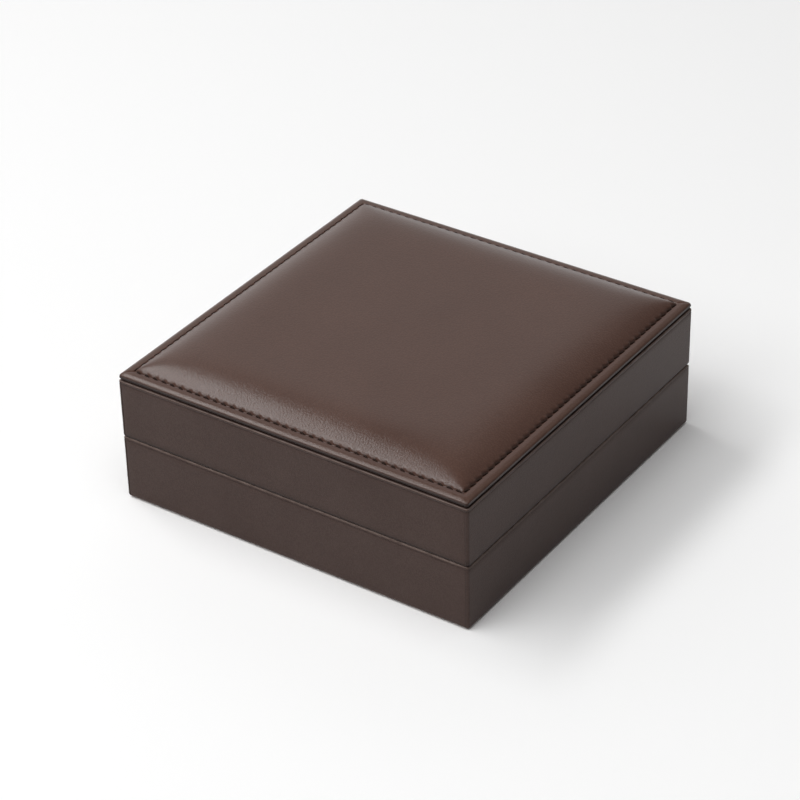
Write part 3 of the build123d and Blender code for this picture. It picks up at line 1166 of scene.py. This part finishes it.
def screws(name, body, node_name, over_seam):
    """The screws of the hinge leaves on one body, each turned its own way."""
    low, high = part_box(node_name)
    outer = high.x - screw_head
    y = (low.y + high.y) / 2
    chance = random.Random(3)
    template = bpy.data.meshes.new("screw")
    one = slotted_screw()
    one.to_mesh(template)
    one.free()
    bm = bmesh.new()
    for x in (-outer, screw_spacing - outer, outer - screw_spacing, outer):
        start = len(bm.verts)
        bm.from_mesh(template)
        bm.verts.ensure_lookup_table()
        move = Matrix.Translation((x, y, base_high.z))
        move @= Matrix.Rotation(chance.uniform(0, math.pi), 4, "Z")
        bmesh.ops.transform(bm, matrix=move, verts=bm.verts[start:])
    bpy.data.meshes.remove(template)
    if over_seam:
        mirror_over_seam(bm)
    piece = made_piece(name, bm, bright_plate, body, node_name)
    for face in piece.data.polygons:
        face.use_smooth = False
    return piece


def mirror_over_seam(bm):
    """Turns a shape made for the base into the lid's, upside down over the seam."""
    bmesh.ops.transform(bm, matrix=Matrix.Scale(-1, 4, (0, 0, 1)), verts=bm.verts)
    bmesh.ops.translate(bm, vec=(0, 0, 2 * seam_z), verts=bm.verts)
    bmesh.ops.reverse_faces(bm, faces=bm.faces)


# The pieces. The lid's wrap is made below the seam and then mirrored over it.
lid_top_below = 2 * seam_z - lid_high.z
leather_wrap(
    "base_wrap",
    "base",
    low=base_low.z,
    wall=base_wall,
    edge_radius=foot_radius,
    crease_height=base_high.z - edge_crease_inset,
    over_seam=False,
)
leather_wrap(
    "lid_wrap",
    "lid",
    low=lid_top_below,
    wall=lid_wall,
    edge_radius=lid_edge_radius,
    crease_height=lid_top_below + edge_crease_inset,
    over_seam=True,
)
padded_panel()
panel_filling()
stitching()
screws("base_screws", "base", "base_hinge_screws", over_seam=False)
screws("lid_screws", "lid", "lid_hinge_screws", over_seam=True)
pad(
    "velvet_cushion",
    "base_cushion",
    shrink=(0.5 * mm, 0.5 * mm, 1.6 * mm),
    voxel=3.2 * mm,
    pressure=4.0,
    cap=3.5 * mm,
    flat_low=True,
    material=beige_velvet,
    body="base",
)
pad(
    "satin_pad",
    "lid_ceiling_pad",
    shrink=(0.3 * mm, 0.3 * mm, 0.5 * mm),
    voxel=2.6 * mm,
    pressure=3.0,
    cap=1.6 * mm,
    flat_low=False,
    material=beige_satin,
    body="lid",
)

# Every part of the frame that stays in sight gets the finish of its material slot
for item in frame["nodes"].values():
    for place in item.material_slots:
        place.material = finishes[place.material.name]

# Floor
floor_reach = 6
floor_shape = bmesh.new()
bmesh.ops.create_grid(floor_shape, x_segments=1, y_segments=1, size=floor_reach)
floor_mesh = bpy.data.meshes.new("floor")
floor_shape.to_mesh(floor_mesh)
floor_shape.free()
floor = as_object("floor", floor_mesh)
white, tree, shader, _ = new_finish("studio_floor", Roughness=0.9, Specular_IOR_Level=0.0)
shader.inputs["Base Color"].default_value = (0.99, 0.99, 0.99, 1)
floor_mesh.materials.append(white)

# Camera, fitted to the box's corners and edges in the photograph
camera_turn = math.radians(34.812)
camera_height = math.radians(33.274)
camera_distance = 1.39558
camera_target = Vector((-0.03348, 0.03914, 0))
camera_roll = math.radians(-1.3115)
camera_lens = 127.929
towards_camera = Vector(
    (
        math.sin(camera_turn) * math.cos(camera_height),
        -math.cos(camera_turn) * math.cos(camera_height),
        math.sin(camera_height),
    )
)
camera = as_object("camera", bpy.data.cameras.new("camera"))
camera.data.sensor_width = 36
camera.data.lens = camera_lens
camera.location = camera_target + towards_camera * camera_distance
camera.rotation_mode = "QUATERNION"
aim = (-towards_camera).to_track_quat("-Z", "Y")
camera.rotation_quaternion = aim @ Quaternion((0, 0, 1), camera_roll)
bpy.context.scene.camera = camera


# Light
lamp_distance = 3.2


def soft_light(name, direction, length, width, share):
    """An area lamp that gives a level surface under it this share of full white."""
    toward = Vector(direction).normalized()
    data = bpy.data.lights.new(name, "AREA")
    data.shape = "RECTANGLE"
    data.size = length
    data.size_y = width
    data.energy = math.pi**2 * lamp_distance**2 * share / toward.z
    lamp = as_object(name, data)
    lamp.location = toward * lamp_distance
    lamp.rotation_mode = "QUATERNION"
    lamp.rotation_quaternion = toward.to_track_quat("Z", "Y")


# How bright the studio's walls are at each height, where 0 is the horizon and 1 is straight up
wall_tones = (
    (0.0, 0.95),
    (0.2, 0.8),
    (0.32, 0.55),
    (0.45, 0.55),
    (0.53, 0.82),
    (0.58, 0.82),
    (0.74, 0.1),
)
lit_side_direction = (-0.8, 0.6, 0.0)


def studio_walls():
    """A pale studio round the box: white towards the horizon on the left and behind, darker above."""
    world = bpy.data.worlds.new("studio")
    bpy.context.scene.world = world
    world.use_nodes = True
    tree = world.node_tree
    shader = tree.nodes["Background"]
    toward = node(tree, "TexCoord").outputs["Generated"]
    height = node(tree, "SeparateXYZ", {"Vector": toward}).outputs["Z"]
    walls = node(tree, "ValToRGB", {"Fac": height})
    ramp = walls.color_ramp
    ramp.interpolation = "EASE"
    while len(ramp.elements) < len(wall_tones):
        ramp.elements.new(1.0)
    for element, (rise, tone) in zip(ramp.elements, wall_tones):
        element.position = rise
        element.color = (tone, tone, tone, 1)
    side = node(tree, "VectorMath", {0: toward, 1: lit_side_direction}, operation="DOT_PRODUCT")
    lit_side = spread(tree, side.outputs["Value"], 0.3, 0.8, 0.15, 1.0)
    strength = node(tree, "Math", {0: walls.outputs["Color"], 1: lit_side}, operation="MULTIPLY")
    tree.links.new(strength.outputs["Value"], shader.inputs["Strength"])
    shader.inputs["Color"].default_value = (1, 0.99, 0.985, 1)


soft_light("key", (-0.56, -0.12, 0.82), length=2.6, width=0.7, share=0.33)
soft_light("fill", (-0.25, -0.65, 0.72), length=2.0, width=2.0, share=0.28)
soft_light("overhead", (0.15, -0.2, 0.95), length=2.6, width=2.6, share=0.37)
studio_walls()
bpy.context.scene.view_settings.view_transform = "Standard"
